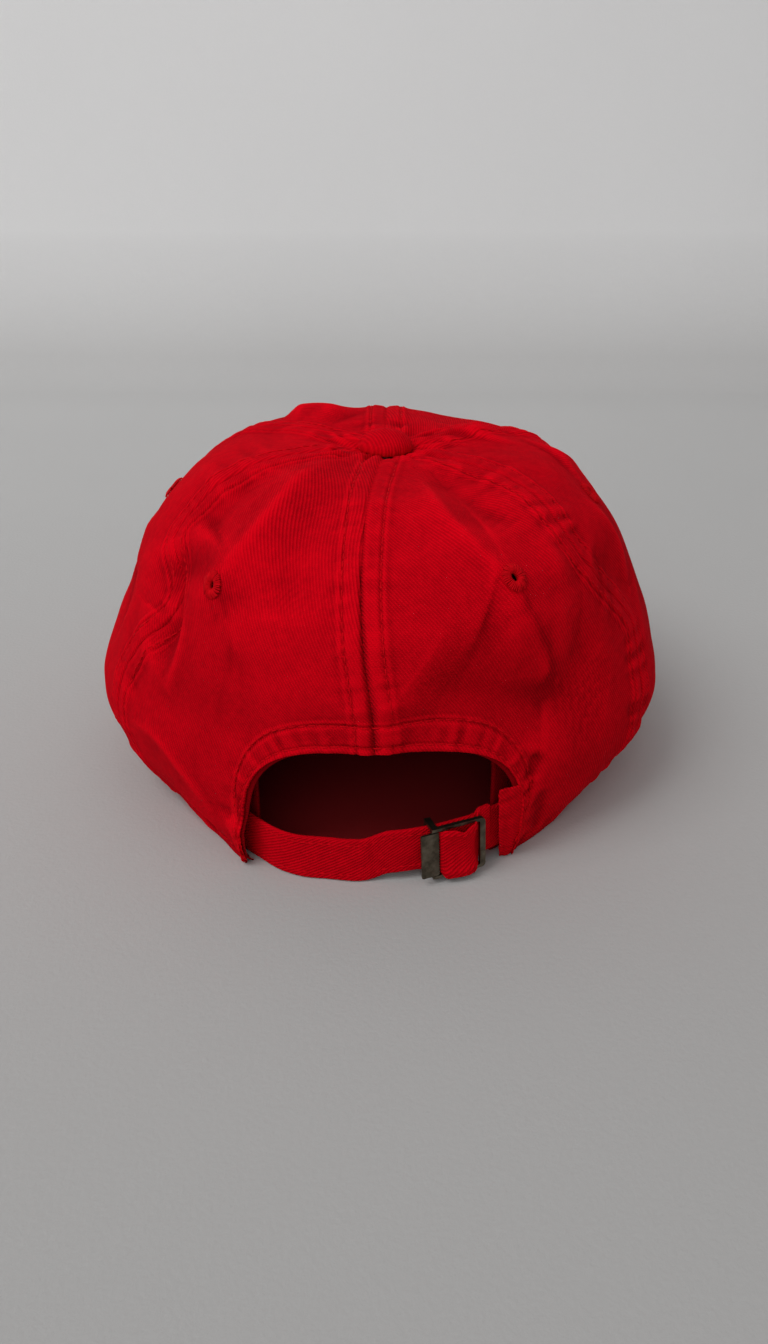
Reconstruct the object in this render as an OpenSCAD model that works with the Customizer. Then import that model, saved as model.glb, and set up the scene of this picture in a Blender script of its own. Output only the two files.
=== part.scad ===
// Washed cotton baseball cap: six soft panels, a curved visor, and an arched back
// opening closed by a cloth strap that runs through a small metal clamp buckle.
// Millimetres. The visor points along -Y, the wearer's left is +X, the rim rests on z = 0.

/* [Crown] */
// Half the width of the head opening
half_width = 75; // [73:0.5:78]
// From the middle of the head opening to its back
half_back = 91; // [89:0.5:93]
// From the middle of the head opening to its front
half_front = 98; // [92:0.5:104]
// Height of the crown where the panels meet
crown_height = 106.5; // [102:0.5:110]
// How far the soft top leans to the wearer's right
crown_lean = 2.5; // [0:0.5:4]
// Thickness of one panel's cloth
cloth = 0.9; // [0.8:0.05:1.0]
// How far the rim lifts at the front to meet the visor
front_rise = 16; // [12:0.5:20]

/* [Back opening] */
// Half the width of the arch, as an angle about the crown's axis
arch_angle = 27.5; // [25:0.5:29]
// Height of the arch, as a share of the way up the crown
arch_share = 0.32; // [0.28:0.01:0.36]
// Squareness of the arch's shoulders
arch_power = 3.2; // [2.4:0.1:4]
// Width of the facing sewn inside the arch's edge
facing_width = 9; // [7:0.5:11]

/* [Visor] */
// How far the visor reaches in front of the crown
visor_reach = 68; // [60:1:74]
// Half the visor's greatest width
visor_half = 88; // [84:1:90]
// Height of the visor's front edge above the table
visor_front_z = 13; // [10:0.5:16]
// Thickness of the stiff board inside the visor
board = 1.6; // [1.2:0.1:2]

/* [Strap and buckle] */
// Radius of the arc that the strap follows
strap_r = 62; // [61:0.5:62.5]
// Width of the strap
strap_w = 15; // [14:0.5:15]
// Thickness of the strap, two plies sewn together
strap_t = 1.4; // [1.2:0.1:1.5]
// Tilt of the strap, which rises to the wearer's right
strap_tilt = 2.5; // [1.5:0.5:3]
// How far round the strap's arc the buckle sits
buckle_angle = 111; // [107:0.5:113]
// Length of the buckle's frame along the strap
buckle_len = 17.3; // [17.1:0.1:17.8]
// Half the height of the buckle
buckle_half = 8.9; // [8.8:0.1:9.4]
// Radius of the buckle's hinge pin
pin_r = 0.6; // [0.5:0.05:0.7]

/* [Button] */
// Radius of the cloth covered button
button_r = 8; // [7:0.5:9]

/* [Hidden] */

cap_red = [0.72, 0.02, 0.05];
lining_red = [0.55, 0.02, 0.05];
gunmetal = [0.24, 0.21, 0.16];

back = 90;
front = 270;
seam_gap = 0.08;
panel_top = 0.962;
rows = 18;
arc_y = half_back - 4.5 - strap_r;
strap_z = strap_w / 2 + 0.2 + strap_r * cos(35) * tan(strap_tilt);
window_half = strap_w / 2 + 0.4;
pin_at = [strap_r + 2.6, -5.8];
frame_left = -7.1;
frame_right = frame_left + buckle_len;
frame_face = [strap_r + 2.3, strap_r + 3.6];
tab_bar = [strap_r + 3.1, -2.6];

// ---------- curves ----------

// A smooth curve through a list of points, t from 0 to 1
function curve(p, t) =
    let (n = len(p) - 1, x = min(max(t, 0), 1) * n, i = min(floor(x), n - 1), f = x - i)
    let (b = p[i], c = p[i + 1])
    let (a = i > 0 ? p[i - 1] : 2 * b - c, d = i + 2 <= n ? p[i + 2] : 2 * c - b)
    0.5 * (2 * b + (c - a) * f + (2 * a - 5 * b + 4 * c - d) * f * f
        + (3 * b - a - 3 * c + d) * f * f * f);

function mix(a, b, t) = a + (b - a) * t;
function ease(a, b, x) = let (t = min(max((x - a) / (b - a), 0), 1)) t * t * (3 - 2 * t);
function steps(a, b, n) = [for (i = [0:n]) a + (b - a) * i / n];

// ---------- the crown's surface ----------

// Each profile runs from the rim to the top: share of the rim's radius, and height
function side_profile(v) = curve([[1, 0], [1.19, 14], [1.29, 30], [1.255, 45], [1.155, 65],
    [1.02, 85], [0.84, 99.5], [0.655, 107], [0.3, 108.5], [0, crown_height]], v);
function back_profile(v) = curve([[1, 0], [0.995, 16], [0.985, 32], [0.975, 47], [0.995, 63],
    [0.95, 81], [0.78, 96.5], [0.52, 105.5], [0.25, 108], [0, crown_height]], v);
function front_profile(v) = curve([[1, 0], [1.03, 17], [1.04, 33], [1.02, 50], [0.97, 68],
    [0.88, 86], [0.73, 99.5], [0.5, 108.5], [0.25, 110], [0, crown_height]], v);

// The rim is rounder at the back than at the front
function rim_radius(a) =
    let (reach = sin(a) > 0 ? half_back : half_front, p = sin(a) > 0 ? 1.85 : 2.2)
    pow(pow(abs(cos(a)) / half_width, p) + pow(abs(sin(a)) / reach, p), -1 / p);

// A point on the crown: a is the angle about Z, v the share of the way up, depth inwards
function crown(a, v, depth = 0) =
    let (s = sin(a), wb = pow(max(s, 0), 2), wf = pow(max(-s, 0), 2))
    let (q = wb * back_profile(v) + wf * front_profile(v) + (1 - wb - wf) * side_profile(v))
    let (tip = ease(0.35, 0.9, v) * 90, r = rim_radius(a) * q[0] - depth * cos(tip))
    [r * cos(a) - crown_lean * ease(0, crown_height, q[1]), r * sin(a), q[1] - depth * sin(tip)];

// The crown's lower edge: the arch at the back, and the lift over the visor
function rise(a) = 0.105 * front_rise / 16 * pow(max(-sin(a), 0), 3);
function arch(a, grow = 0) =
    let (x = abs(a - back) / (arch_angle + grow))
    x >= 1 ? 0 : (arch_share + grow / 100) * pow(1 - pow(x, arch_power), 1 / arch_power);
function arch_point(t, grow = 0) = [
    back + (arch_angle + grow) * sign(cos(t)) * pow(abs(cos(t)), 2 / arch_power),
    (arch_share + grow / 100) * pow(abs(sin(t)), 2 / arch_power)];

// ---------- building a closed sheet from two grids of points ----------

module slab(outer, inner) {
    rows = len(outer);
    cols = len(outer[0]);
    base = rows * cols;
    flat = [for (r = outer) for (p = r) p];
    under = [for (r = inner) for (p = r) p];
    id = function (i, j) i * cols + j;
    faces = [
        for (i = [0:rows - 2]) for (j = [0:cols - 2]) each [
            [id(i, j), id(i + 1, j), id(i + 1, j + 1)],
            [id(i, j), id(i + 1, j + 1), id(i, j + 1)],
            [base + id(i, j), base + id(i + 1, j + 1), base + id(i + 1, j)],
            [base + id(i, j), base + id(i, j + 1), base + id(i + 1, j + 1)]],
        for (i = [0:rows - 2]) each [
            [id(i, 0), base + id(i, 0), base + id(i + 1, 0)],
            [id(i, 0), base + id(i + 1, 0), id(i + 1, 0)],
            [id(i, cols - 1), base + id(i + 1, cols - 1), base + id(i, cols - 1)],
            [id(i, cols - 1), id(i + 1, cols - 1), base + id(i + 1, cols - 1)]],
        for (j = [0:cols - 2]) each [
            [id(0, j), base + id(0, j + 1), base + id(0, j)],
            [id(0, j), id(0, j + 1), base + id(0, j + 1)],
            [id(rows - 1, j), base + id(rows - 1, j), base + id(rows - 1, j + 1)],
            [id(rows - 1, j), base + id(rows - 1, j + 1), id(rows - 1, j + 1)]]
    ];
    polyhedron(points = concat(flat, under), faces = faces, convexity = 6);
}

// A sheet on the crown: columns is a list of [angle, lowest v], top the highest v
module crown_sheet(columns, top, outside, inside) {
    grid = function (depth) [for (i = [0:rows]) [for (c = columns)
        crown(c[0], mix(c[1], top, i / rows), depth)]];
    slab(grid(outside), grid(inside));
}

// ---------- crown panels ----------

function plain_columns(from, to) =
    [for (a = steps(from + seam_gap, to - seam_gap, 9)) [a, rise(a)]];

// The arch's half is sampled along its own curve, so that its shoulder stays round
function arch_columns(from, to) = [for (t = steps(from, to, 9)) arch_point(t)];

module panel(columns, eyelet) {
    color(cap_red)
    difference() {
        crown_sheet(columns, panel_top, 0, cloth);
        at_eyelet(eyelet_spots[eyelet]) cylinder(h = 8, r = 1.5, center = true, $fn = 24);
    }
}

module back_left_panel() {
    side = [for (a = steps(30 + seam_gap, back - arch_angle - 0.6, 4)) [a, 0]];
    half = [for (c = arch_columns(180, 90)) [min(c[0], back - seam_gap), c[1]]];
    panel(concat(side, half), 1);
}

module back_right_panel() {
    half = [for (c = arch_columns(90, 0)) [max(c[0], back + seam_gap), c[1]]];
    side = [for (a = steps(back + arch_angle + 0.6, 150 - seam_gap, 4)) [a, 0]];
    panel(concat(half, side), 2);
}

module side_left_panel() { panel(plain_columns(-30, 30), 0); }
module side_right_panel() { panel(plain_columns(150, 210), 3); }
module front_right_panel() { panel(plain_columns(210, 270), 4); }
module front_left_panel() { panel(plain_columns(270, 330), 5); }

// ---------- eyelets ----------

// Each eyelet's angle about +Z and its share of the way up the crown
eyelet_spots = [[-6, 0.6], [53, 0.571], [116.7, 0.603], [170.7, 0.637], [240, 0.585], [300, 0.585]];

// Places a child on the crown's surface with +Z along the outward normal
module at_eyelet(spot) {
    a = spot[0];
    v = spot[1];
    p = crown(a, v);
    du = crown(a + 1, v) - crown(a - 1, v);
    dv = crown(a, v + 0.01) - crown(a, v - 0.01);
    out = cross(du, dv);
    tilt = acos(out[2] / norm(out));
    turn = atan2(out[1], out[0]);
    translate(p) rotate([0, tilt, turn]) children();
}

module eyelets() {
    color(cap_red)
    for (spot = eyelet_spots) at_eyelet(spot)
        translate([0, 0, 0.2])
        rotate_extrude($fn = 48)
        translate([1.7, 0]) polygon([[0, 0], [2.5, 0], [2.1, 0.6], [0.4, 0.7], [0, 0.4]]);
}

// ---------- seam tapes, arch facing, sweatband ----------

// A tape under the seam at angle a, from the panels' row first up to their row last
module seam_tape(a, foot, first = 1, last = 16) {
    half = 6;
    across = function (v) asin(half / norm([crown(a, v)[0], crown(a, v)[1]]));
    grid = function (depth) [for (i = [first:last]) let (v = mix(foot, panel_top, i / rows))
        [for (k = [-1:1]) crown(a + k * across(v), v, depth)]];
    color(lining_red) slab(grid(cloth + 0.45), grid(cloth + 0.85));
}

module back_seam_tape() { seam_tape(back, arch_share, 3); }
module back_left_seam_tape() { seam_tape(30, 0); }
module back_right_seam_tape() { seam_tape(150, 0); }
module front_seam_tape() { seam_tape(front, rise(front)); }
module front_left_seam_tape() { seam_tape(330, rise(330)); }
module front_right_seam_tape() { seam_tape(210, rise(210)); }

module arch_facing() {
    n = 30;
    grow = facing_width * 0.72;
    grid = function (depth) [for (k = [0:3]) [for (i = [0:n]) let (t = 180 - 180 * i / n)
        let (p = mix(arch_point(t), arch_point(t, grow), k / 3)) crown(p[0], p[1] + 0.001, depth)]];
    color(lining_red) slab(grid(cloth + 0.55), grid(cloth + 0.95));
}

// The sweatband lies against the crown, and leaves a pocket where the strap's ends go in
function band_radius(a) =
    let (s = sin(a), near = strap_r - strap_t - 1.4)
    let (pocket = arc_y * s + sqrt(near * near - pow(arc_y * cos(a), 2)))
    let (w = s < 0 ? 0 : ease(24, 42, min(a, 180 - a)))
    mix(rim_radius(a) - cloth - 1.4, pocket, w);

module sweatband() {
    n = 60;
    high = 33;
    start = back + arch_angle + 0.8;
    turn = 360 - 2 * (arch_angle + 0.8);
    grid = function (depth) [for (k = [0:3]) [for (i = [0:n]) let (a0 = start + turn * i / n)
        let (a = a0 > 360 ? a0 - 360 : a0, r = band_radius(a) - depth)
        let (foot = crown(a, rise(a))[2] + 0.3)
        [r * cos(a), r * sin(a), mix(foot, high, k / 3)]]];
    color(lining_red) slab(grid(0), grid(1.2));
}

// ---------- visor ----------

visor_span = 50;
function bend(x) = 1 - pow(x / visor_half, 2);

// One edge point of the visor: u runs from -1 to 1 across it
function visor_inner(u) =
    let (a = front + visor_span * u, p = crown(a, rise(a), 2.8))
    [p[0], p[1], crown(a, rise(a))[2] - 0.35];
function visor_outer(u) =
    let (tip = visor_inner(1), s = 1 - abs(u), q = half_front + visor_reach)
    let (a = [tip[0], tip[1]], b = [visor_half * 1.25, tip[1] - 22])
    let (c = [visor_half * 0.9, -q], d = [0, -q])
    let (p = pow(1 - s, 3) * a + 3 * pow(1 - s, 2) * s * b + 3 * (1 - s) * s * s * c + s * s * s * d)
    [p[0] * sign(u), p[1], mix(tip[2], visor_front_z, max(bend(p[0]), 0))];

module visor_layer(top, thick, reach, colour) {
    n = 28;
    grid = function (drop) [for (i = [0:n]) let (u = 0.985 * (-1 + 2 * i / n))
        [for (w = steps(0, reach, 6)) let (a = visor_inner(u), b = visor_outer(u))
            mix(a, b, w) + [0, 0, 2.2 * pow(sin(180 * w), 2) * bend(a[0]) - drop]]];
    color(colour) slab(grid(top), grid(top + thick));
}

module visor_top_cover() { visor_layer(0, 0.7, 1, cap_red); }
module visor_board() { visor_layer(0.8, board, 0.97, "white"); }
module visor_under_cover() { visor_layer(0.9 + board, 0.7, 1, cap_red); }

// ---------- button ----------

button_z = crown_height + 2.2;

module button_cover() {
    color(cap_red)
    translate([-crown_lean, 0, button_z])
    rotate_extrude($fn = 64)
    polygon(concat(
        [for (t = steps(0, 90, 10)) [button_r * cos(t), 5.2 * sin(t)]],
        [for (t = steps(90, 0, 10)) [(button_r - 0.8) * cos(t), 4.4 * sin(t)]]));
}

module button_shell() {
    color("silver")
    translate([-crown_lean, 0, button_z])
    rotate_extrude($fn = 64)
    polygon(concat(
        [for (t = steps(0, 90, 10)) [(button_r - 0.9) * cos(t), 4.3 * sin(t)]],
        [for (t = steps(90, 0, 10)) [(button_r - 1.5) * cos(t), 3.7 * sin(t)]]));
}

// The rivet's stem stands in the shell, and its flange spreads inside the crown
module button_rivet() {
    color("silver")
    translate([-crown_lean, 0, crown_height - 5.2]) {
        cylinder(h = 0.8, r = 6, $fn = 48);
        cylinder(h = 9.6, r = 1.6, $fn = 32);
    }
}

// ---------- strap, its tab and its keeper ----------

// The strap's own frame: its arc's axis is +Z
module at_strap() {
    translate([0, arc_y, strap_z]) rotate([0, strap_tilt, 0]) children();
}

// The buckle's frame: +X out of the strap, +Y along it, +Z across it
module at_buckle() {
    at_strap() rotate([0, 0, buckle_angle]) children();
}

module adjuster_strap() {
    color(cap_red)
    at_strap()
    rotate([0, 0, 43])
    rotate_extrude(angle = 94, $fn = 180)
    translate([strap_r - strap_t, -strap_w / 2]) square([strap_t, strap_w]);
}

// A ribbon's outline from the path of its middle
function ribbon(path, t) =
    let (n = len(path) - 1)
    let (side = [for (i = [0:n])
        let (d = path[min(i + 1, n)] - path[max(i - 1, 0)]) [-d[1], d[0]] / norm(d) * t / 2])
    concat([for (i = [0:n]) path[i] + side[i]], [for (i = [n:-1:0]) path[i] - side[i]]);

// The tab's route in the buckle's frame: distance along the strap, height above it
tab_route = [[13.2, 0.33], [10.5, 0.33], [8, 0.36], [4, 0.55], [-1.4, 0.9], [-3.3, 1.7], [-3.8, 3.2],
    [-2.6, 4.55], [0.2, 5.2], [3.6, 5.5], [6.2, 4.7], [7.6, 2.6], [9.2, 1.2], [11, 0.97], [13.2, 0.96]];
tab_half = 7.1;
tail_from = 9;
tail_lift = 2.8;

module buckle_tab() {
    on_arc = function (p) let (a = p[0] / strap_r * 180 / PI, r = strap_r + p[1])
        [r * cos(a), r * sin(a)];
    path = [for (t = steps(0, 1, 75)) on_arc(curve(tab_route, t))];
    color(cap_red)
    at_buckle()
    difference() {
        translate([0, 0, -tab_half]) linear_extrude(2 * tab_half + tail_lift) polygon(ribbon(path, 0.55));
        translate([strap_r - 4, tail_from, -tab_half - 1]) cube([12, 10, 1 + tail_lift]);
        translate([strap_r - 4, tail_from - 20, tab_half]) cube([12, 20, 1 + tail_lift]);
    }
}

module strap_keeper() {
    n = 6;
    grid = function (depth) [for (i = [0:n]) let (t = i / n) [for (a = steps(-1, 1, 3))
        crown(mix(120.5, 117.2, t) + a * mix(3.6, 2.6, t), mix(0.004, 0.205, t), depth)]];
    color(cap_red) slab(grid(cloth + 1.12), grid(cloth + 1.5));
}

// ---------- buckle ----------

module rounded(x0, x1, half, r) {
    translate([x0, -half + r]) square([x1 - x0, 2 * half - 2 * r]);
    translate([x0 + r, -half]) square([x1 - x0 - 2 * r, 2 * half]);
    for (x = [x0 + r, x1 - r]) for (y = [-half + r, half - r])
        translate([x, y]) circle(r = r, $fn = 32);
}

// Draws a shape given along and across the strap, and stands it up between two heights
module across_strap(low, high) {
    translate([low, 0, 0]) rotate([90, 0, 90]) linear_extrude(high - low) children();
}

frame_bar = 1.7;
back_bar = [strap_r - strap_t - 1.6, 1.1];

// A flat loop in front of the strap, open at the left, with a bar behind the strap there
module buckle_frame() {
    arm = buckle_half - window_half;
    color(gunmetal)
    at_buckle()
    difference() {
        union() {
            across_strap(frame_face[0], frame_face[1]) difference() {
                rounded(frame_left, frame_right, buckle_half, 1.5);
                rounded(frame_left - 4, frame_right - frame_bar, window_half, 0.6);
            }
            for (z = [-buckle_half, window_half]) translate([back_bar[0], frame_left + 0.3, z])
                cube([frame_face[1] - back_bar[0], 2, arm]);
            translate([back_bar[0], frame_left + 0.3, -window_half - 0.1])
                cube([back_bar[1], 2, 2 * window_half + 0.2]);
            translate([tab_bar[0], tab_bar[1], 0])
                cylinder(h = 2 * window_half + 0.4, r = 0.8, center = true, $fn = 32);
        }
        translate([pin_at[0], pin_at[1], 0])
            cylinder(h = 2 * buckle_half + 1, r = pin_r, center = true, $fn = 32);
    }
}

module hinge_pin() {
    color(gunmetal)
    at_buckle()
    translate([pin_at[0], pin_at[1], 0])
    cylinder(h = 2 * buckle_half, r = pin_r, center = true, $fn = 32);
}

plate_face = strap_r + 3.05;
plate_t = 0.7;
plate_half = window_half - 0.3;

module clamp_plate() {
    color(gunmetal)
    at_buckle()
    difference() {
        union() {
            across_strap(plate_face, plate_face + plate_t)
                rounded(-10.4, pin_at[1] + 0.8, plate_half, 0.5);
            translate([pin_at[0], pin_at[1], 0])
                cylinder(h = 2 * plate_half, r = 1.15, center = true, $fn = 48);
            clamp_teeth();
        }
        translate([pin_at[0], pin_at[1], 0])
            cylinder(h = 2 * buckle_half, r = pin_r + 0.05, center = true, $fn = 32);
    }
}

// The nose reaches down to the strap; its edge is cut into a row of teeth
module clamp_teeth() {
    count = 17;
    pitch = 2 * plate_half / count;
    root = pin_at[1] + 0.75;
    edge = [for (i = [0:count - 1]) each [
        [root, -plate_half + pitch * i],
        [root + 0.5, -plate_half + pitch * (i + 0.5)]]];
    difference() {
        across_strap(strap_r + 0.5, plate_face + plate_t / 2)
            polygon(concat([[root - 0.4, plate_half], [root - 0.4, -plate_half]], edge,
                [[root, plate_half]]));
        translate([pin_at[0], pin_at[1], 0])
            cylinder(h = 2 * buckle_half, r = 0.9, center = true, $fn = 32);
    }
}

back_left_panel();
back_right_panel();
side_left_panel();
side_right_panel();
front_left_panel();
front_right_panel();
back_seam_tape();
back_left_seam_tape();
back_right_seam_tape();
front_seam_tape();
front_left_seam_tape();
front_right_seam_tape();
eyelets();
arch_facing();
sweatband();
visor_board();
visor_top_cover();
visor_under_cover();
button_cover();
button_shell();
button_rivet();
adjuster_strap();
buckle_tab();
strap_keeper();
buckle_frame();
clamp_plate();
hinge_pin();
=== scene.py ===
"""Looks of a washed cotton baseball cap: twill panels, taped seams, visor, strap and clamp buckle.

Shapes are worked out in millimetres in the part's frame (visor -Y, wearer's left +X, rim on z = 0)
and turned into metres when a mesh is made.
"""
import math

import bpy
import numpy as np
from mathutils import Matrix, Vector


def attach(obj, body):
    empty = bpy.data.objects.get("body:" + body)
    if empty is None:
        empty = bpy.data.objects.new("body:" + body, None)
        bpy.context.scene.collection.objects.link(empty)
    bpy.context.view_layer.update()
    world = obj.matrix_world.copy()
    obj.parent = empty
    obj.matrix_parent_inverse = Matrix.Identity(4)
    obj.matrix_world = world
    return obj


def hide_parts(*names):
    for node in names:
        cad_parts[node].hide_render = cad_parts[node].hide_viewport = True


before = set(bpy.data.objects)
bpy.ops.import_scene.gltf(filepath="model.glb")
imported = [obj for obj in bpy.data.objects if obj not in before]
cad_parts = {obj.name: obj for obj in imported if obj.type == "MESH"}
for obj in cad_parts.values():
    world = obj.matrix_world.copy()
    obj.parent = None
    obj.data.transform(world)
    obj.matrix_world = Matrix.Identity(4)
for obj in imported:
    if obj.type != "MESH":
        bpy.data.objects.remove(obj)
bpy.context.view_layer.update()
MM = 0.001
rng = np.random.default_rng(7)

# ---------------------------------------------------------------- driving sizes
# As in the CAD, but for the arch: its two halves differ a little here, and it is slightly taller
HALF_WIDTH, HALF_BACK, HALF_FRONT = 75.0, 91.0, 98.0
CROWN_HEIGHT, LEAN = 106.5, 2.5
CLOTH = 0.9
TAPE_WIDTH, TAPE_THICK = 12.0, 0.4
BAND_HEIGHT, BAND_THICK = 33.0, 1.1
FRONT_RISE = 0.105
ARCH_SHARE, ARCH_POWER = 0.325, 3.2
ARCH_LEFT, ARCH_RIGHT = 26.0, 29.4
PANEL_TOP = 0.962
STRAP_R, STRAP_W, STRAP_T, STRAP_TILT = 62.0, 15.0, 1.4, 2.5
ARC_Y = HALF_BACK - 4.5 - STRAP_R
STRAP_Z = STRAP_W / 2 + 0.2 + STRAP_R * math.cos(math.radians(35)) * math.tan(math.radians(STRAP_TILT))
BUCKLE_ANGLE = 111.0
BUTTON_R, BUTTON_Z = 8.0, CROWN_HEIGHT + 2.2
VISOR_REACH, VISOR_HALF, VISOR_FRONT_Z, VISOR_SPAN = 68.0, 88.0, 13.0, 50.0
EYELETS = ((-6, 0.6), (53, 0.571), (116.7, 0.603), (170.7, 0.637), (240, 0.585), (300, 0.585))

SIDE = [(1, 0), (1.19, 14), (1.29, 30), (1.255, 45), (1.155, 65), (1.02, 85), (0.84, 99.5), (0.655, 107),
        (0.3, 108.5), (0, CROWN_HEIGHT)]
BACK = [(1, 0), (0.995, 16), (0.985, 32), (0.975, 47), (0.995, 63), (0.95, 81), (0.78, 96.5), (0.52, 105.5),
        (0.25, 108), (0, CROWN_HEIGHT)]
FRONT = [(1, 0), (1.03, 17), (1.04, 33), (1.02, 50), (0.97, 68), (0.88, 86), (0.73, 99.5), (0.5, 108.5),
         (0.25, 110), (0, CROWN_HEIGHT)]


# ---------------------------------------------------------------- curves and noise
def curve(points, t):
    """A smooth curve through the points; t from 0 to 1, one number or an array."""
    p = np.asarray(points, float)
    n = len(p) - 1
    x = np.clip(np.asarray(t, float), 0, 1) * n
    i = np.minimum(x.astype(int), n - 1)
    f = (x - i)[..., None]
    b, c = p[i], p[i + 1]
    a = np.where((i > 0)[..., None], p[np.maximum(i - 1, 0)], 2 * b - c)
    d = np.where((i + 2 <= n)[..., None], p[np.minimum(i + 2, n)], 2 * c - b)
    return 0.5 * (2 * b + (c - a) * f + (2 * a - 5 * b + 4 * c - d) * f**2 + (3 * b - a - 3 * c + d) * f**3)


def ease(a, b, x):
    t = np.clip((np.asarray(x, float) - a) / (b - a), 0, 1)
    return t * t * (3 - 2 * t)


def mix(a, b, t):
    return a + (b - a) * t


def unit(x):
    return x / (np.linalg.norm(x, axis=-1, keepdims=True) + 1e-12)


def lattice(seed, n=16):
    return np.random.default_rng(seed).uniform(-1, 1, (n, n, n))


def noise3(p, size, seed=1):
    """Smooth noise from -1 to 1 over points in mm; size is the width of one bump."""
    grid = lattice(seed)
    n = len(grid)
    q = p / size
    i = np.floor(q).astype(int)
    f = q - i
    f = f * f * f * (f * (6 * f - 15) + 10)
    total = 0
    for dx in (0, 1):
        for dy in (0, 1):
            for dz in (0, 1):
                w = (np.where(dx, f[..., 0], 1 - f[..., 0]) * np.where(dy, f[..., 1], 1 - f[..., 1])
                     * np.where(dz, f[..., 2], 1 - f[..., 2]))
                total = total + w * grid[(i[..., 0] + dx) % n, (i[..., 1] + dy) % n, (i[..., 2] + dz) % n]
    return total * 1.6


# ---------------------------------------------------------------- the crown's smooth surface
def rim_radius(angle):
    a = np.radians(angle)
    s, c = np.sin(a), np.cos(a)
    reach = np.where(s > 0, HALF_BACK, HALF_FRONT)
    p = np.where(s > 0, 1.85, 2.2)
    return ((np.abs(c) / HALF_WIDTH) ** p + (np.abs(s) / reach) ** p) ** (-1 / p)


def crown(angle, v):
    """Points on the smooth crown, for an angle about Z in degrees and a share v of the way up."""
    angle, v = np.broadcast_arrays(np.asarray(angle, float), np.asarray(v, float))
    a = np.radians(angle)
    wb, wf = np.maximum(np.sin(a), 0) ** 2, np.maximum(-np.sin(a), 0) ** 2
    q = (wb[..., None] * curve(BACK, v) + wf[..., None] * curve(FRONT, v)
         + (1 - wb - wf)[..., None] * curve(SIDE, v))
    r = rim_radius(angle) * q[..., 0]
    return np.stack([r * np.cos(a) - LEAN * ease(0, CROWN_HEIGHT, q[..., 1]), r * np.sin(a), q[..., 1]], -1)


def normals(angle, v):
    e, h = 0.4, 0.004
    du = crown(angle + e, v) - crown(angle - e, v)
    dv = crown(angle, np.minimum(v + h, 1)) - crown(angle, v - h)
    return unit(np.cross(du, dv))


def rise(angle):
    return FRONT_RISE * np.maximum(-np.sin(np.radians(angle)), 0) ** 3


def arch_point(t, grow=0.0):
    """(angle, v) along the arch's edge, from one foot (t = 0) over the top to the other (t = pi)."""
    c, s = np.cos(t), np.sin(t)
    half = np.where(c > 0, ARCH_RIGHT, ARCH_LEFT)
    return np.stack([90 + (half + grow) * np.sign(c) * np.abs(c) ** (2 / ARCH_POWER),
                     (ARCH_SHARE + grow / 100) * np.abs(s) ** (2 / ARCH_POWER)], -1)


def hem_width(t):
    """How far the arch's outer stitching stands from its edge, in degrees: narrow at the feet."""
    return 2.0 + 4.3 * np.clip(np.sin(t), 0, 1) ** 1.2


def climb(v):
    """Length in mm along the side of the crown from the rim to v."""
    steps = np.linspace(0, 1, 400)
    q = curve(SIDE, steps) * [84.0, 1.0]
    run = np.concatenate([[0], np.cumsum(np.linalg.norm(np.diff(q, axis=0), axis=1))])
    return np.interp(v, steps, run)


# ---------------------------------------------------------------- seams
SEAM_BASE = {"front_right": 210, "front": 270, "front_left": 330,
             "back_left": 30, "back": 90, "back_right": 150}
SEAM_PATHS = {  # share of the way up, degrees off the seam's own angle
    "back_left": [(0, 0), (0.3, -3), (0.4, 1), (0.48, 8), (0.54, 6),
                  (0.6, -4), (0.7, -4), (0.88, -3), (1, 0)],
    "back_right": [(0, 0), (0.38, 6), (0.46, 4), (0.56, -7), (0.64, -11), (0.72, -9), (0.82, -5), (1, 0)],
    "back": [(0, 0), (0.35, -0.5), (0.53, -3), (0.65, -4.5), (0.8, -5.5), (0.92, -4), (1, 0)],
}


def seam_angle(name, v):
    path = SEAM_PATHS.get(name, [(0, 0), (1, 0)])
    t = np.linspace(0, 1, 200)
    p = curve(path, t)
    return SEAM_BASE[name] + np.interp(v, p[:, 0], p[:, 1])


PANELS = {  # panel: (seam where the angle is least, seam where it is most, turns added to each)
    "side_left_panel": ("front_left", "back_left", -360, 0),
    "back_left_panel": ("back_left", "back", 0, 0),
    "back_right_panel": ("back", "back_right", 0, 0),
    "side_right_panel": ("back_right", "front_right", 0, 0),
    "front_right_panel": ("front_right", "front", 0, 0),
    "front_left_panel": ("front", "front_left", 0, 0),
}


def polyline_distance(points, line):
    """Distance from each point to a finely sampled line, and how far along it (0 to 1) the nearest is."""
    best = np.full(len(points), 1e9)
    where = np.zeros(len(points))
    for k in range(0, len(points), 8000):
        d = np.linalg.norm(points[k:k + 8000, None] - line[None], axis=2)
        j = d.argmin(1)
        best[k:k + 8000] = d[np.arange(len(j)), j]
        where[k:k + 8000] = j / (len(line) - 1)
    return best, where


SEAM_ROW = 5.3  # from a seam to the stitching beside it, mm


def seam_line(name, n=220):
    v = np.linspace(0, 1, n)
    return crown(seam_angle(name, v), v)


SEAM_LINES = {name: seam_line(name) for name in SEAM_BASE}
ARCH_LINE = crown(*arch_point(np.linspace(0, np.pi, 260)).T)
RIM_LINE = crown(np.linspace(0, 360, 500), rise(np.linspace(0, 360, 500)))

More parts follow.
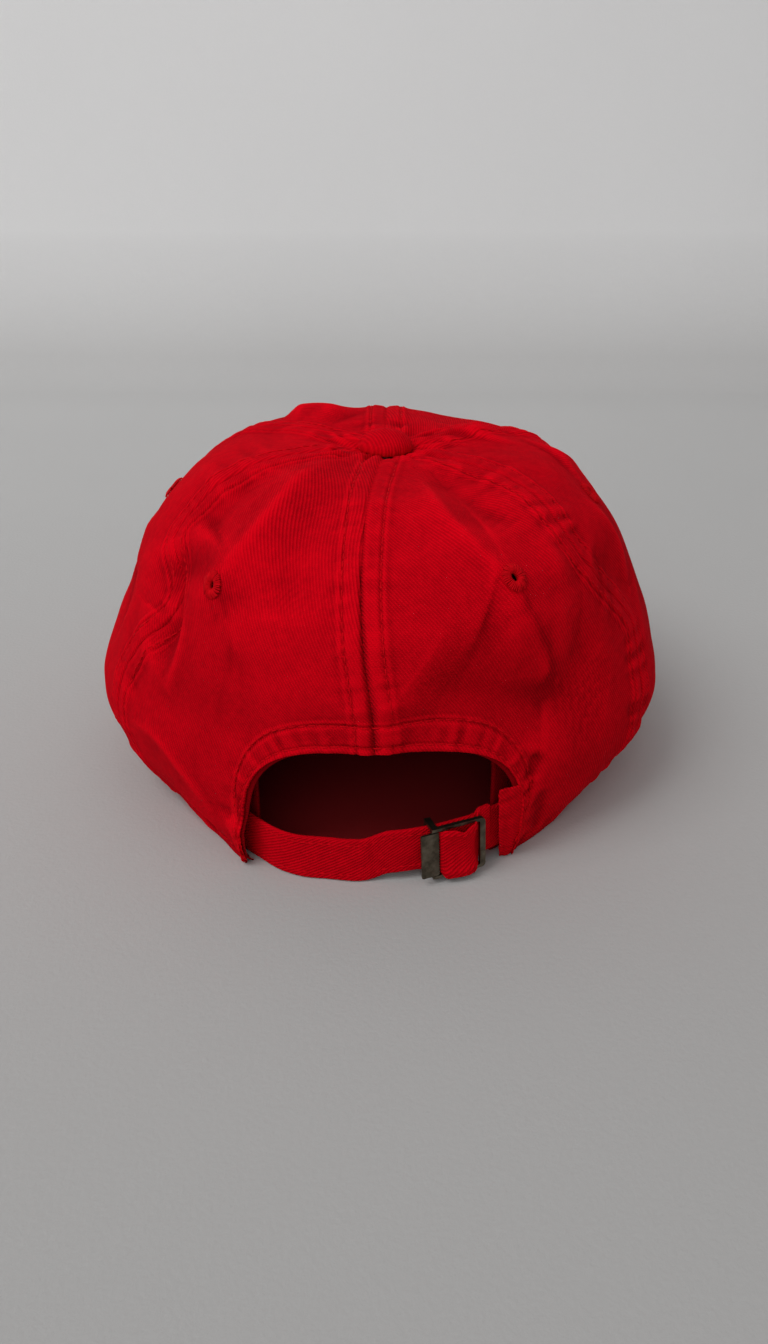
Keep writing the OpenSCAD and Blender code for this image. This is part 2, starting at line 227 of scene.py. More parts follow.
# ---------------------------------------------------------------- folds of the soft crown
# Each fold: points (angle, v) along its crest, how fast it falls off in mm, height in mm (minus for a
# hollow), and the radius of its crest in mm, small where the cloth is creased
FOLDS = [
    ([(52, 0.9), (58, 0.78), (59, 0.69), (57, 0.62), (50, 0.56)], 9, 5.0, 1.5),
    ([(73, 0.8), (69, 0.7), (69, 0.63), (71, 0.56)], 8, -2.6, 4),
    ([(34, 0.8), (38, 0.69), (37, 0.63)], 7, -3.0, 4),
    ([(114, 0.88), (107, 0.8), (107, 0.73), (111, 0.66), (115, 0.61), (119, 0.56)], 6, 3.4, 1.5),
    ([(124, 0.88), (121, 0.81), (123, 0.74), (125, 0.67)], 6, -3.2, 3),
    ([(132, 0.78), (131, 0.7), (130, 0.62), (131, 0.56)], 8, 2.2, 3),
    ([(97, 0.5), (104, 0.45), (114, 0.42), (128, 0.38), (142, 0.34)], 12, -5.5, 5),
    ([(110, 0.56), (122, 0.54), (134, 0.5)], 12, 2.5, 6),
    ([(31, 0.6), (36, 0.54), (41, 0.48), (36, 0.41)], 7, -5.0, 2),
    ([(44, 0.53), (46, 0.44), (43, 0.35)], 3, 1.5, 1),
    ([(31, 0.25), (42, 0.25), (50, 0.18), (55, 0.1)], 3, 1.3, 1),
    ([(146, 0.58), (158, 0.5), (168, 0.46)], 7, -3.0, 3),
    ([(160, 0.66), (164, 0.54), (163, 0.44)], 5, 2.0, 1.5),
    ([(123, 0.27), (120.5, 0.2)], 2.5, -1.8, 1),
    ([(124.5, 0.17), (126.5, 0.03)], 2.2, -1.2, 1),
    ([(294, 0.86), (303, 0.8), (312, 0.76)], 8, 4.2, 2),
    ([(66, -0.03), (64.5, 0.05), (63, 0.14)], 9, 3.2, 5),
    ([(48, 0.0), (50, 0.08)], 6, -2.0, 3),
    ([(182, 0.74), (190, 0.66)], 9, 2.8, 3),
    ([(200, 0.86), (215, 0.82)], 8, 3.0, 2),
    ([(10, 0.82), (14, 0.72)], 7, -1.2, 4),
    ([(356, 0.55), (4, 0.45)], 10, 1.5, 5),
    ([(262, 0.62), (275, 0.66), (296, 0.6)], 9, -3.2, 4),
    ([(236, 0.5), (252, 0.42), (262, 0.3)], 8, 2.6, 2),
    ([(308, 0.5), (322, 0.42), (334, 0.36)], 9, -3.5, 4),
    ([(200, 0.5), (214, 0.44), (222, 0.34)], 9, -3.2, 4),
    ([(352, 0.5), (368, 0.44), (378, 0.4)], 9, -2.4, 4),
]


def fold_height(p):
    total = np.zeros(len(p))
    for path, width, height, crest in FOLDS:
        line = curve([crown(a, v) for a, v in path], np.linspace(0, 1, 60))
        d, t = polyline_distance(p, line)
        fall = np.exp(-(np.sqrt(d * d + crest * crest) - crest) / width)
        fall = np.where(d < 4 * width, fall - math.exp(-4 + crest / width), 0)
        total += height * np.maximum(fall, 0) * ease(-0.02, 0.35, t + 0.05) * ease(-0.02, 0.35, 1.05 - t)
    return total


def relief(angle, v, p):
    """How far the cloth stands off the smooth crown, in mm: folds, seams, hems and puckers."""
    shape = p.shape[:-1]
    p = p.reshape(-1, 3)
    angle, v = angle.ravel(), v.ravel()
    out = fold_height(p)
    upper = ease(0.25, 0.6, v)
    out += 0.8 * noise3(p, 34, 3) * (0.4 + 0.6 * upper) + 0.35 * noise3(p, 13, 4)
    for k, line in enumerate(SEAM_LINES.values()):
        d, t = polyline_distance(p, line)
        wave = noise3(np.stack([t * 180, np.full_like(t, 7.0 * k), 0.12 * d], -1), 3.2, 20 + k)
        slow = noise3(np.stack([t * 180, np.full_like(t, 9.0 * k), 0.05 * d], -1), 11, 40 + k)
        fade = 1 - ease(0.9, 0.97, t)
        out += 0.7 * (1 - ease(5.6, 7.8, d)) * fade
        out -= 0.6 * np.exp(-(d / 0.8) ** 2) * fade
        out -= 0.6 * np.exp(-((d - SEAM_ROW) / 0.7) ** 2) * fade
        out += (0.28 * wave + 0.45 * slow) * np.exp(-((d - 5) / 4.5) ** 2) * fade
    d, t = polyline_distance(p, ARCH_LINE)
    wave = noise3(np.stack([t * 200, 0 * t, 0.15 * d], -1), 3.4, 60)
    outer = 1.5 * hem_width(np.pi * (1 - t))
    out += 0.8 * (1 - ease(outer + 0.2, outer + 1.8, d)) - 0.7 * np.exp(-((d - outer) / 0.7) ** 2)
    out += 0.35 * np.exp(-((d - 1.0) / 1.0) ** 2) - 0.25 * np.exp(-((d - 2.4) / 0.5) ** 2)
    out += 0.25 * wave * np.exp(-((d - 5) / 4) ** 2)
    d, t = polyline_distance(p, RIM_LINE)
    near = np.exp(-((d - 5) / 5) ** 2)
    out += 0.3 * noise3(p, 4.2, 61) * near - 0.35 * np.exp(-((d - 4.5) / 0.6) ** 2)
    x, y = p[:, 0] + LEAN, p[:, 1]
    r, turn = np.hypot(x, y), np.arctan2(y, x)
    rays = np.sin(turn * 12 + 3 * noise3(p, 9, 5)) + 0.7 * np.sin(turn * 19 + 1.3)
    out += 0.65 * rays * np.exp(-((r - 13) / 10) ** 2) * ease(3, 8, r)
    out -= 1.8 * np.exp(-(r / 11) ** 2)
    return out.reshape(shape)


def off_floor(points):
    """The points, with none under the floor the rim rests on."""
    points[..., 2] = np.maximum(points[..., 2], 0.1)
    return points


def crown_cloth(angle, v, depth=0.0):
    """The finished outer surface of the cloth, or one lying depth mm inside it."""
    p = crown(angle, v)
    return off_floor(p + normals(angle, v) * (relief(angle, v, p) - depth)[..., None])


# ---------------------------------------------------------------- meshes
def mesh_object(name, verts_mm, faces, material, uv=None):
    """A smooth shaded mesh from points in mm; uv, where it is given, is for each point and in metres."""
    mesh = bpy.data.meshes.new(name)
    mesh.from_pydata([tuple(p) for p in np.asarray(verts_mm) * MM], [], [tuple(f) for f in faces])
    mesh.materials.append(material)
    if uv is not None:
        layer = mesh.uv_layers.new(name="cloth")
        corner = np.zeros(len(mesh.loops), np.int32)
        mesh.loops.foreach_get("vertex_index", corner)
        layer.data.foreach_set("uv", np.asarray(uv, np.float32)[corner].ravel())
    mesh.polygons.foreach_set("use_smooth", [True] * len(mesh.polygons))
    mesh.update()
    obj = bpy.data.objects.new(name, mesh)
    bpy.context.scene.collection.objects.link(obj)
    return obj


def grid_faces(rows, cols, wrap=False):
    i, j = np.meshgrid(np.arange(rows - 1), np.arange(cols if wrap else cols - 1), indexing="ij")
    k = (j + 1) % cols
    return np.stack([i * cols + j, i * cols + k, (i + 1) * cols + k, (i + 1) * cols + j], -1).reshape(-1, 4)


def level(grid, passes=14):
    """The grid of numbers, smoothed by its neighbours."""
    for _ in range(passes):
        g = np.pad(grid, 1, mode="edge")
        grid = (g[:-2, 1:-1] + g[2:, 1:-1] + g[1:-1, :-2] + g[1:-1, 2:]) / 4
    return grid


def sheet_object(name, points, material, uv, thickness, keep=None, tone=None):
    """A cloth sheet from a grid of points (rows x cols x 3), thickened inwards by a modifier.

    tone is how far each point stands above the cloth round it: the material rubs the high points lighter as
    wear and paints shade into the low ones.
    """
    rows, cols = points.shape[:2]
    faces = grid_faces(rows, cols)
    if keep is not None:
        faces = faces[keep(points.reshape(-1, 3)[faces].mean(1))]
    obj = mesh_object(name, points.reshape(-1, 3), faces, material, uv.reshape(-1, 2))
    if tone is not None:
        layer = obj.data.attributes.new("tone", "FLOAT", "POINT")
        layer.data.foreach_set("value", tone.ravel().astype(np.float32))
    solid = obj.modifiers.new("cloth", "SOLIDIFY")
    solid.thickness = thickness * MM
    solid.offset = -1
    return obj


def place(obj, *nodes, body="root", slot=None):
    """The piece rides on a body and stands for these CAD nodes."""
    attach(obj, body)
    if nodes:
        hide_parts(*nodes)
    return obj


# ---------------------------------------------------------------- materials
class Nodes:
    """A short way to write a material's nodes."""

    def __init__(self, name):
        self.mat = bpy.data.materials.new(name)
        self.mat.use_nodes = True
        self.tree = self.mat.node_tree
        self.shader = self.tree.nodes["Principled BSDF"]

    def add(self, kind, inputs=(), **props):
        node = self.tree.nodes.new("ShaderNode" + kind)
        for key, value in props.items():
            setattr(node, key, value)
        for key, value in dict(inputs).items():
            self.put(node.inputs[key], value)
        return node

    def put(self, socket, value):
        if isinstance(value, bpy.types.NodeSocket):
            self.tree.links.new(value, socket)
        else:
            socket.default_value = value

    def math(self, operation, a, b=0.0, c=0.0):
        node = self.add("Math", operation=operation)
        for socket, value in zip(node.inputs, (a, b, c)):
            self.put(socket, value)
        return node.outputs[0]

    def noise(self, vector, scale, detail=2.0, rough=0.5):
        node = self.add("TexNoise", {"Vector": vector, "Scale": scale, "Detail": detail, "Roughness": rough})
        return node.outputs["Fac"]

    def mix(self, fac, a, b):
        node = self.add("Mix", data_type="RGBA")
        self.put(node.inputs[0], fac)
        self.put(node.inputs[6], a)
        self.put(node.inputs[7], b)
        return node.outputs[2]

    def remap(self, x, a, b, c, d):
        node = self.add("MapRange", {"Value": x, "From Min": a, "From Max": b, "To Min": c, "To Max": d})
        return node.outputs[0]

    def bump(self, height, distance, strength=1.0, normal=None):
        node = self.add("Bump", {"Height": height, "Distance": distance, "Strength": strength})
        if normal:
            self.put(node.inputs["Normal"], normal)
        return node.outputs[0]

    def set(self, **values):
        for key, value in values.items():
            self.put(self.shader.inputs[key.replace("_", " ")], value)


def twill(name, light, dark, pitch=0.9, lean=30.0, depth=0.16):
    """Washed cotton twill. UVs are in metres; the wales lean from the cloth's length."""
    m = Nodes(name)
    uv = m.add("UVMap", uv_map="cloth").outputs[0]
    xyz = m.add("SeparateXYZ", {"Vector": uv})
    x, y = xyz.outputs[0], xyz.outputs[1]
    c, s = math.cos(math.radians(lean)), math.sin(math.radians(lean))
    wobble = m.math("MULTIPLY", m.noise(uv, 900.0, 1.0), 0.35 * MM * pitch)
    across = m.math("ADD", m.math("ADD", m.math("MULTIPLY", x, c), m.math("MULTIPLY", y, s)), wobble)
    along = m.math("SUBTRACT", m.math("MULTIPLY", y, c), m.math("MULTIPLY", x, s))
    wale = m.math("SINE", m.math("MULTIPLY", across, 2 * math.pi / (pitch * MM)))
    slant = m.math("ADD", along, m.math("MULTIPLY", across, 0.6))
    step = m.math("MULTIPLY", slant, 2 * math.pi / (0.62 * MM))
    yarn = m.math("MULTIPLY", m.math("SINE", step), m.math("ADD", m.math("MULTIPLY", wale, 0.5), 0.5))
    weave = m.math("ADD", m.math("MULTIPLY", wale, 0.7), m.math("MULTIPLY", yarn, 0.3))
    where = m.add("TexCoord").outputs["Object"]
    broad = m.noise(where, 26.0, 3.0)
    fine = m.noise(where, 420.0, 2.0, 0.7)
    fuzz = m.noise(where, 2600.0, 1.0, 0.6)
    # painted shade: the weave's valleys are painted darker than its crests, over the same relief that the
    # bump raises
    shade = m.remap(weave, -1, 1, 0.0, 0.55)
    shade = m.math("ADD", shade, m.remap(broad, 0.3, 0.7, -0.10, 0.16))
    shade = m.math("ADD", shade, m.remap(fine, 0.3, 0.7, -0.10, 0.14))
    # tone lightens the cloth's high points as wear and darkens its hollows and creases as painted shade
    rubbed_and_shaded = m.add("Attribute", attribute_name="tone").outputs["Fac"]
    shade = m.math("ADD", shade, m.remap(rubbed_and_shaded, -0.3, 0.3, -0.42, 0.42))
    colour = m.mix(m.math("ADD", shade, 0.26), dark, light)
    height = m.math("ADD", weave, m.math("MULTIPLY", fuzz, 0.9))
    first = m.bump(m.noise(where, 160.0, 2.0), 0.35 * MM, 0.5)
    m.set(Base_Color=colour, Roughness=0.92, Normal=m.bump(height, depth * MM, 0.8, first))
    m.set(Sheen_Weight=0.10, Sheen_Roughness=0.5, Sheen_Tint=(1.0, 0.02, 0.04, 1), Specular_IOR_Level=0.015)
    return m.mat


RED_LIGHT, RED_DARK = (0.78, 0.0008, 0.009, 1), (0.30, 0.0, 0.004, 1)
TWILL = twill("twill", RED_LIGHT, RED_DARK)
LINING = twill("lining", (0.34, 0.001, 0.005, 1), (0.16, 0.0, 0.003, 1), pitch=0.6, depth=0.1)


def thread_material():
    m = Nodes("thread")
    where = m.add("TexCoord").outputs["Object"]
    tone = m.noise(where, 900.0, 2.0)
    m.set(Base_Color=m.mix(tone, (0.42, 0.0, 0.004, 1), (0.74, 0.001, 0.008, 1)), Roughness=0.8)
    m.set(Specular_IOR_Level=0.06, Normal=m.bump(m.noise(where, 3000.0), 0.05 * MM))
    return m.mat


THREAD = thread_material()


# ---------------------------------------------------------------- crown panels
def back_grid(name, rows, cols):
    """(angle, v) over a back panel: its lower side runs along the rim, then up the arch."""
    left, right, _, _ = PANELS[name]
    s = np.linspace(0, 1, cols)
    s = s - 0.5 * np.sin(2 * np.pi * s) / (2 * np.pi)
    is_left = name == "back_left_panel"
    foot_share = 0.42
    along = s if is_left else 1 - s
    seam = 30.0 if is_left else 150.0
    foot = 90 - ARCH_LEFT if is_left else 90 + ARCH_RIGHT
    rim_part = np.clip(along / foot_share, 0, 1)
    arch_part = np.clip((along - foot_share) / (1 - foot_share), 0, 1)
    t = np.pi - arch_part * np.pi / 2 if is_left else arch_part * np.pi / 2
    edge = arch_point(t)
    bottom_angle = np.where(along < foot_share, mix(seam, foot, rim_part), edge[:, 0])
    bottom_v = np.where(along < foot_share, 0, edge[:, 1])
    t = np.linspace(0, 1, rows) ** 1.12
    v = mix(bottom_v[None], PANEL_TOP, t[:, None])
    top_angle = mix(seam_angle(left, v), seam_angle(right, v), s[None])
    blend = ease(0.0, 0.75, t)[:, None]
    low_angle = bottom_angle[None] + (top_angle - mix(SEAM_BASE[left], SEAM_BASE[right], s[None]))
    return mix(low_angle, top_angle, blend), v


def plain_grid(name, rows, cols):
    left, right, turn_left, turn_right = PANELS[name]
    s = np.linspace(0, 1, cols)
    s = s - 0.5 * np.sin(2 * np.pi * s) / (2 * np.pi)
    base = mix(SEAM_BASE[left] + turn_left, SEAM_BASE[right] + turn_right, s)
    v = mix(rise(base)[None], PANEL_TOP, np.linspace(0, 1, rows)[:, None])
    angle = mix(seam_angle(left, v) + turn_left, seam_angle(right, v) + turn_right, s[None])
    return angle, v


def panel_uv(angle, v, middle):
    r = np.hypot(*np.moveaxis(crown(angle, v), -1, 0)[:2])
    return np.stack([np.radians(angle - middle) * r, climb(v)], -1) * MM


EYELET_CENTRES = crown_cloth(*np.array(EYELETS).T)


def clear_of_eyelets(centres):
    return np.all([np.linalg.norm(centres - e, axis=1) > 1.9 for e in EYELET_CENTRES], axis=0)


def make_panel(name, rows=240, cols=150):
    angle, v = (back_grid if name.startswith("back") else plain_grid)(name, rows, cols)
    left, right, turn_left, turn_right = PANELS[name]
    middle = (SEAM_BASE[left] + turn_left + SEAM_BASE[right] + turn_right) / 2
    smooth = crown(angle, v)
    stand = relief(angle, v, smooth)
    points = off_floor(smooth + normals(angle, v) * stand[..., None])
    # the relief above its smoothed self goes in as tone: high points rubbed lighter as wear, hollows
    # darkened as painted shade
    obj = sheet_object(name + "_cloth", points, TWILL, panel_uv(angle, v, middle), CLOTH, clear_of_eyelets,
                       stand - level(stand))
    place(obj, name, slot="twill")


for panel in PANELS:
    make_panel(panel)


# ---------------------------------------------------------------- stitches
def along_line(points, normal, step, start=0.0):
    """Places every step mm along a polyline: centres, directions and normals."""
    length = np.concatenate([[0], np.cumsum(np.linalg.norm(np.diff(points, axis=0), axis=1))])
    s = np.arange(start + step / 2, length[-1] - step / 2, step)

    def at(q, values):
        return np.stack([np.interp(q, length, values[:, k]) for k in range(3)], -1)

    return at(s, points), unit(at(s + 0.5, points) - at(s - 0.5, points)), unit(at(s, normal))


def stitch_object(name, lines, length=2.5, gap=0.55, width=0.5, lift=0.1, body="root"):
    """Rows of thread: one small capsule a stitch, its ends sunk into the cloth."""
    t = np.array([-0.5, -0.4, -0.15, 0.15, 0.4, 0.5])
    fat = np.array([0.25, 0.8, 1.0, 1.0, 0.8, 0.25])
    sunk = np.array([-0.55, -0.2, 0.0, 0.0, -0.2, -0.55])
    ring = np.arange(6) * np.pi / 3
    verts, faces = [], []
    cap = grid_faces(len(t), len(ring), wrap=True)
    total = 0
    for points, normal in lines:
        c, d, n = along_line(points, normal, length + gap)
        b = np.cross(d, n)
        jitter = 1 + 0.06 * rng.standard_normal(len(c))
        for k in range(len(c)):
            r = fat[:, None] * width / 2
            run = d[k] * (t * length * jitter[k])[:, None]
            middle = c[k] + run + n[k] * (lift + sunk * width)[:, None]
            flat, wide = (np.cos(ring) * 0.8)[None, :, None], np.sin(ring)[None, :, None]
            loop = (n[k] * flat + b[k] * wide) * r[..., None]
            verts.append((middle[:, None] + loop).reshape(-1, 3))
            faces.append(cap + total)
            total += len(t) * len(ring)
    obj = mesh_object(name, np.concatenate(verts), np.concatenate(faces), THREAD)
    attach(obj, body)
    return obj


def crown_row(angle, v):
    return crown_cloth(angle, v), normals(angle, v)


# Where a seam's rows start, as a share of the way up; the others start just off the rim
ROW_FOOT = {"back": ARCH_SHARE + 0.01, "front": 0.11, "front_left": 0.02, "front_right": 0.02}


def seam_rows():
    rows = []
    for name in SEAM_BASE:
        v = np.linspace(ROW_FOOT.get(name, 0.005), 0.9, 260)
        angle = seam_angle(name, v)
        r = np.hypot(*crown(angle, v)[:, :2].T)
        for side in (-1, 1):
            rows.append(crown_row(angle + side * np.degrees(SEAM_ROW / r), v))
    return rows


def arch_rows():
    t = np.linspace(0.02, np.pi - 0.02, 300)
    return [crown_row(*arch_point(t, grow).T) for grow in (1.45, hem_width(t))]


def rim_row():
    angle = np.linspace(90 + ARCH_RIGHT + 1, 360 + 90 - ARCH_LEFT - 1, 700)
    return [crown_row(angle, rise(angle) + 4.5 / 153)]


stitch_object("crown_seam_stitching", seam_rows())
stitch_object("arch_stitching", arch_rows())
stitch_object("rim_stitching", rim_row())


# ---------------------------------------------------------------- eyelets
def cloth_normals(angle, v):
    """The slope of the folded cloth itself, taken over about 3 mm each way."""
    e, h = 2.0, 0.02
    du = crown_cloth(angle + e, v) - crown_cloth(angle - e, v)
    dv = crown_cloth(angle, v + h) - crown_cloth(angle, v - h)
    return unit(np.cross(du, dv))


def make_eyelets():
    """Each eyelet is a ring of satin stitches over a padded edge, round an open hole."""
    verts, faces, total = [], [], 0
    loops, sides, along = 40, 5, 7
    for c, n in zip(EYELET_CENTRES, cloth_normals(*np.array(EYELETS).T)):
        x = unit(np.cross([0, 0, 1.0], n))
        y = np.cross(n, x)
        for j in range(loops):
            turn = 2 * np.pi * (j + 0.25 * rng.uniform(-1, 1)) / loops
            d = x * np.cos(turn) + y * np.sin(turn)
            b = np.cross(n, d)
            t = np.linspace(0, 1, along)
            out = 1.15 + (3.0 + 0.25 * rng.uniform(-1, 1)) * t
            up = 0.15 + 0.75 * np.sin(np.pi * (0.12 + 0.88 * t)) - 0.55 * (t < 0.05)
            centre = c + d * out[:, None] + n * up[:, None]
            wide = 0.13 + 0.16 * t
            ring = np.arange(sides) * 2 * np.pi / sides
            loop = (n * np.cos(ring)[None, :, None] * 0.22
                    + b * np.sin(ring)[None, :, None] * wide[:, None, None])
            verts.append((centre[:, None] + loop).reshape(-1, 3))
            faces.append(grid_faces(along, sides, wrap=True) + total)
            total += along * sides
    place(mesh_object("eyelet_stitching", np.concatenate(verts), np.concatenate(faces), THREAD),
          "eyelets", slot="thread")


make_eyelets()


def make_tape(node, seam, low):
    v = np.linspace(low, 0.86, 90)[:, None]
    angle = seam_angle(seam, v)
    r = np.hypot(*np.moveaxis(crown(angle, v), -1, 0)[:2])
    across = np.linspace(-TAPE_WIDTH / 2, TAPE_WIDTH / 2, 13)[None]
    depth = CLOTH + TAPE_THICK + 0.08 * np.cos(across / 2)
    points = crown_cloth(angle + np.degrees(across / r), v + 0 * across, depth)
    uv = np.stack(np.broadcast_arrays(across, climb(v)), -1) * MM
    obj = sheet_object(node + "_cloth", points, LINING, uv, TAPE_THICK)
    place(obj, node, slot="seam_tape")


for seam, low in (("back", 0.43), ("back_left", 0.01), ("back_right", 0.01), ("front", 0.12),
                  ("front_left", 0.035), ("front_right", 0.035)):
    make_tape(seam + "_seam_tape", seam, low)


def make_arch_facing():
    """The strip sewn inside the arch's edge, from foot to foot."""
    t = np.linspace(np.pi, 0, 200)[None]
    grow = np.linspace(-0.15, 6.6, 12)[:, None]
    edge = np.stack([arch_point(t[0], g) for g in grow[:, 0]])
    points = crown_cloth(edge[..., 0], edge[..., 1], CLOTH + 0.5)
    uv = np.stack(np.broadcast_arrays(-t * 46, grow * 1.5), -1) * MM
    obj = sheet_object("arch_facing_cloth", points, LINING, uv, TAPE_THICK)
    place(obj, "arch_facing", slot="seam_tape")


make_arch_facing()


def band_radius(angle):
    """The sweatband's outer face: inside the crown, and inside the strap where the strap passes."""
    a = np.radians(angle)
    s, c = np.sin(a), np.cos(a)
    near = STRAP_R - STRAP_T - 1.4
    pocket = ARC_Y * s + np.sqrt(near * near - (ARC_Y * c) ** 2)
    side = np.minimum(angle % 360, 180 - angle % 360)
    w = np.where(s < 0, 0, ease(24, 42, side))
    return mix(rim_radius(angle) - CLOTH - 1.4, pocket, w)


def make_sweatband():
    """A folded band, made as one thick sheet whose top edge rolls inwards."""
    angle = np.linspace(90 + ARCH_RIGHT - 3.0, 450 - ARCH_LEFT - 0.8, 420)[None]
    t = np.linspace(0, 1, 30)[:, None]
    foot = crown(angle, rise(angle))[..., 2] + 0.35
    top = BAND_HEIGHT + 0.5 * np.sin(np.radians(angle * 7))
    wave = 0.35 * np.sin(np.radians(angle * 23)) * t
    wave = wave + 0.25 * np.sin(np.radians(angle * 61)) * ease(0.5, 1, t)
    r = band_radius(angle) - 0.25 + wave * 0.6 - 0.9 * ease(0.86, 1.0, t) ** 2
    a = np.radians(angle + 0 * t)
    points = np.stack([r * np.cos(a), r * np.sin(a), mix(foot, top, t)], -1)
    uv = np.stack(np.broadcast_arrays(np.radians(angle) * 86, t * BAND_HEIGHT), -1) * MM
    obj = sheet_object("sweatband_cloth", points, LINING, uv, BAND_THICK)
    place(obj, "sweatband", slot="sweatband")
    rows = []
    for share in (0.1, 0.9):
        k = int(share * (len(t) - 1))
        inward = -np.stack([np.cos(a[k]), np.sin(a[k]), 0 * a[k]], -1)
        rows.append((points[k] + inward * BAND_THICK, inward))
    stitch_object("sweatband_stitching", rows, length=2.2)


make_sweatband()


# ---------------------------------------------------------------- visor
def visor_inner(u):
    """The visor's edge under the crown, for u from -1 to 1 along its span."""
    angle = 270 + VISOR_SPAN * u
    v = rise(angle)
    p = crown(angle, v)
    a = np.radians(angle)
    return p + np.stack([-2.8 * np.cos(a), -2.8 * np.sin(a), 0 * a - 0.35], -1)


def bend(x):
    return np.maximum(1 - (x / VISOR_HALF) ** 2, 0)


def visor_outer(u):
    tip = visor_inner(np.array([1.0]))[0]
    s = (1 - np.abs(u))[:, None]
    q = HALF_FRONT + VISOR_REACH
    a, b = tip[:2], np.array([VISOR_HALF * 1.25, tip[1] - 22])
    c, d = np.array([VISOR_HALF * 0.9, -q]), np.array([0.0, -q])
    p = (1 - s) ** 3 * a + 3 * (1 - s) ** 2 * s * b + 3 * (1 - s) * s * s * c + s**3 * d
    return np.stack([p[:, 0] * np.sign(u), p[:, 1], mix(tip[2], VISOR_FRONT_Z, bend(p[:, 0]))], -1)


def visor_surface(cols=221, rows=84, reach=1.0):
    u = 0.988 * np.sin(np.linspace(-0.5, 0.5, cols) * np.pi)
    w = (np.linspace(0, 1, rows) * reach)[:, None, None]
    a, b = visor_inner(u)[None], visor_outer(u)[None]
    points = mix(a, b, w)
    points[..., 2] += 2.2 * np.sin(np.pi * w[..., 0]) ** 2 * bend(a[..., 0])
    return points


def surface_normals(points):
    du = np.gradient(points, axis=1)
    dv = np.gradient(points, axis=0)
    return unit(np.cross(du, dv))


VISOR_ROWS = [3.2 + 7.6 * k for k in range(8)]  # from the outer edge to each row of stitching, mm


def make_visor():
    base = visor_surface()
    up = surface_normals(base)
    up *= np.sign(up[..., 2:])
    edge = base[-1]
    d, _ = polyline_distance(base.reshape(-1, 3), edge)
    d = d.reshape(base.shape[:2])
    groove = sum(0.30 * np.exp(-((d - row) / 0.7) ** 2) for row in VISOR_ROWS)
    pillow = 0.16 * noise3(base, 4.5, 71) + 0.25 * noise3(base, 16, 72)
    roll = 1.75 * (1 - np.sqrt(1 - np.clip(1 - d / 2.0, 0, 0.999) ** 2))
    uv = base[..., :2] * MM
    top = base + up * (pillow - groove - roll)[..., None]
    obj = sheet_object("visor_top_cover_cloth", top[:, ::-1], TWILL, uv[:, ::-1], 0.6)
    place(obj, "visor_top_cover", slot="twill")
    under = base - up * (3.2 + 0.6 * pillow - groove - roll)[..., None]
    obj = sheet_object("visor_under_cover_cloth", under, TWILL, uv, 0.6)
    place(obj, "visor_under_cover", slot="twill")
    rows = []
    for row in VISOR_ROWS:
        ok = d.max(0) > row + 2
        for surface, sign in ((top, 1), (under, -1)):
            line = np.array([[np.interp(row, d[::-1, j], surface[::-1, j, k]) for k in range(3)]
                             for j in np.flatnonzero(ok)])
            norm = up[40, ok] * sign
            rows.append((line, norm))
    stitch_object("visor_stitching", rows, length=2.6)
    core = visor_surface(61, 20, 0.965)
    core[..., 2] -= 0.85
    solid = sheet_object("visor_board_core", core[:, ::-1], BOARD, core[..., :2] * MM, 1.55)
    place(solid, "visor_board", slot="visor_board")


def board_material():
    m = Nodes("board")
    where = m.add("TexCoord").outputs["Object"]
    patches = m.noise(where, 60.0)
    m.set(Base_Color=m.mix(patches, (0.70, 0.70, 0.66, 1), (0.82, 0.82, 0.79, 1)), Roughness=0.55)
    m.set(Normal=m.bump(m.noise(where, 1200.0), 0.05 * MM))
    return m.mat


BOARD = board_material()
make_visor()


# ---------------------------------------------------------------- button
def make_button():
    """Cloth drawn over a dome: pleats gather under its edge, where it sits in the crown's dimple."""
    turn = np.linspace(0, 2 * np.pi, 97)[None]
    t = np.linspace(0, 1, 30)[:, None]
    lift = np.pi / 2 * (1 - 1.25 * t)
    pleat = 0.22 * np.sin(turn * 14 + 1.5 * np.sin(turn * 3)) * ease(0.55, 1.0, t)
    r = (BUTTON_R + pleat) * np.cos(lift) * (1 + 0.04 * np.cos(2 * turn + 0.6))
    z = BUTTON_Z - 0.4 + 5.0 * np.sin(lift) * np.where(lift < 0, 0.55, 1)
    z = z + 0.1 * np.sin(turn * 2 + 1) * t
    points = np.stack([r * np.cos(turn) - LEAN, r * np.sin(turn), z + 0 * turn], -1)
    points = points + 0.1 * noise3(points, 3.0, 81)[..., None] * unit(points - [-LEAN, 0, BUTTON_Z - 4])
    uv = points[..., :2] * MM
    obj = place(sheet_object("button_cover_cloth", points, TWILL, uv, 0.6), "button_cover", slot="twill")


make_button()


# ---------------------------------------------------------------- strap, tab and keeper
def at_strap(rho, phi, w):
    """A point given on the strap's own arc: radius, degrees round it, and place across it."""
    rho, phi, w = np.broadcast_arrays(rho, phi, w)
    a, k = np.radians(phi), math.radians(STRAP_TILT)
    x, y = rho * np.cos(a), rho * np.sin(a)
    z = -x * math.sin(k) + w * math.cos(k) + STRAP_Z
    return np.stack([x * math.cos(k) + w * math.sin(k), y + ARC_Y, z], -1)


def loop_section(width, thick, n=15):
    """A flat strip's rounded outline: place across it and height, closed."""
    half = width / 2 - thick / 2
    flat = np.linspace(-half, half, n)
    turn = np.linspace(-np.pi / 2, np.pi / 2, 7)[1:-1]
    bulge = thick / 2 * np.cos(turn)
    across = np.concatenate([flat, half + bulge, flat[::-1], -half - bulge])
    height = np.concatenate([np.full(n, -1.0), np.sin(turn), np.full(n, 1.0), -np.sin(turn)]) * thick / 2
    return across, height


def ribbon_object(name, rings, material, uv):
    """A closed strip from a list of rings of points; uv is given for each point."""
    rows, cols = rings.shape[:2]
    faces = [tuple(f) for f in grid_faces(rows, cols, wrap=True)]
    faces += [tuple(range(cols))[::-1], tuple(range((rows - 1) * cols, rows * cols))]
    return mesh_object(name, rings.reshape(-1, 3), faces, material, uv.reshape(-1, 2))


